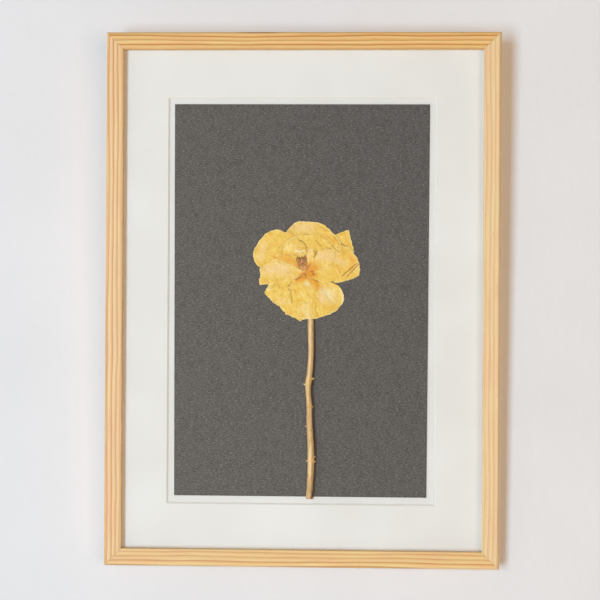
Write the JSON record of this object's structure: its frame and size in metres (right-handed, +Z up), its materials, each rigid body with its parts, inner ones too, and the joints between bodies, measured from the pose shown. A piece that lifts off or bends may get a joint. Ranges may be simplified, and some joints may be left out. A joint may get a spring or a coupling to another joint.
{
  "type": "pressed flower frame",
  "caption": "Pressed dried yellow rose on dark card in an off-white bevelled window mat, behind glass in a narrow pine frame with a hanger at the back.",
  "frame": {"origin": "middle notch of the sawtooth hanger, in the plane of the rails' back faces, where the part rests on its wall nail", "axes": "+X to the viewer's right, +Y into the wall, +Z up; the glazed front faces -Y"},
  "size_m": [0.3176, 0.0228, 0.4303],
  "materials": {
    "pine": "bare planed pine, satin",
    "glass": "clear, polished",
    "mat_board": "matte",
    "white_board": "matte",
    "dark_card": "matte, flecked with fibres",
    "hardboard": "matte",
    "steel": "zinc plated",
    "petal": "dry, matte",
    "stamens": "dry, matte",
    "stem": "dry, matte"
  },
  "bodies": {
    "root": {"backboard": "hardboard", "dark_card": "dark_card", "glass_pane": "glass", "hanger_nail_left": "steel", "hanger_nail_right": "steel", "mount_board": "white_board", "petal_inner_broad": "petal", "petal_inner_crown": "petal", "petal_inner_left": "petal", "petal_inner_narrow": "petal", "petal_inner_small": "petal", "petal_left_fan": "petal", "petal_lower_left": "petal", "petal_lower_middle": "petal", "petal_lower_right": "petal", "petal_right": "petal", "petal_right_back": "petal", "petal_tip_back": "petal", "petal_top": "petal", "petal_upper_left": "petal", "rail_bottom": "pine", "rail_left": "pine", "rail_right": "pine", "rail_top": "pine", "retaining_point_1": "steel", "retaining_point_2": "steel", "retaining_point_3": "steel", "retaining_point_4": "steel", "retaining_point_5": "steel", "retaining_point_6": "steel", "retaining_point_7": "steel", "retaining_point_8": "steel", "sawtooth_hanger": "steel", "spacer_bottom": "pine", "spacer_left": "pine", "spacer_right": "pine", "spacer_top": "pine", "stamen_tuft": "stamens", "stem": "stem", "window_mat": "mat_board"}
  },
  "joints": []
}
